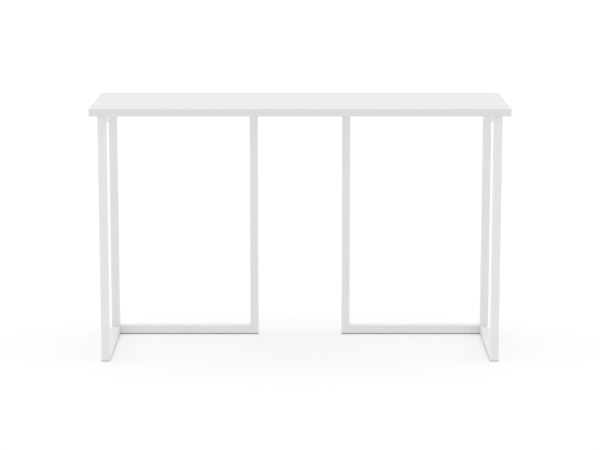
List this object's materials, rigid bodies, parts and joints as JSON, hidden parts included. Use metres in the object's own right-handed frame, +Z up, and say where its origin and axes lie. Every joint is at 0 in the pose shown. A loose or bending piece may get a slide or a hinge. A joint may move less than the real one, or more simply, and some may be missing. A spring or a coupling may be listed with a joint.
{
  "type": "folding console table",
  "caption": "Slim console table on square-tube frames: side frames swing in flat against the back frame on vertical pins, and the flat top lifts off locating studs.",
  "frame": {"origin": "on the floor under the middle of the top", "axes": "+X to the right along the top, +Y from the front edge towards the wall, +Z up"},
  "size_m": [1.2, 0.4, 0.74],
  "materials": {
    "top_lacquer": "satin white lacquer on fibreboard",
    "frame_paint": "semi-gloss white powder coat on steel tube",
    "pin_steel": "bright zinc plate",
    "nylon": "natural nylon",
    "glide_plastic": "matte dark grey nylon",
    "pad_rubber": "matte translucent rubber"
  },
  "bodies": {
    "back_frame": {"rear_top_rail": "frame_paint", "left_corner_post": "frame_paint", "left_inner_post": "frame_paint", "left_back_foot_rail": "frame_paint", "right_corner_post": "frame_paint", "right_inner_post": "frame_paint", "right_back_foot_rail": "frame_paint", "left_upper_tongue": "frame_paint", "left_lower_tongue": "frame_paint", "right_upper_tongue": "frame_paint", "right_lower_tongue": "frame_paint", "left_hinge_pins": "pin_steel", "right_hinge_pins": "pin_steel", "left_hinge_washers": "nylon", "right_hinge_washers": "nylon", "locating_studs": "pin_steel", "back_glides": "glide_plastic"},
    "left_side_frame": {"left_front_post": "frame_paint", "left_side_top_rail": "frame_paint", "left_side_foot_rail": "frame_paint", "left_upper_knuckle": "frame_paint", "left_lower_knuckle": "frame_paint", "left_support_pads": "pad_rubber", "left_side_glides": "glide_plastic"},
    "right_side_frame": {"right_front_post": "frame_paint", "right_side_top_rail": "frame_paint", "right_side_foot_rail": "frame_paint", "right_upper_knuckle": "frame_paint", "right_lower_knuckle": "frame_paint", "right_support_pads": "pad_rubber", "right_side_glides": "glide_plastic"},
    "top": {"table_top": "top_lacquer", "stud_sockets": "nylon"}
  },
  "joints": [
    {"name": "left_fold", "type": "hinge", "parent": "back_frame", "child": "left_side_frame", "pos_m": [-0.5645, 0.1472, 0], "axis": [0, 0, 1], "range_deg": [0, 90]},
    {"name": "right_fold", "type": "hinge", "parent": "back_frame", "child": "right_side_frame", "pos_m": [0.5645, 0.1472, 0], "axis": [0, 0, -1], "range_deg": [0, 90]},
    {"name": "top_lift", "type": "slide", "parent": "back_frame", "child": "top", "axis": [0, 0, 1], "range_m": [0, 0.12]}
  ]
}
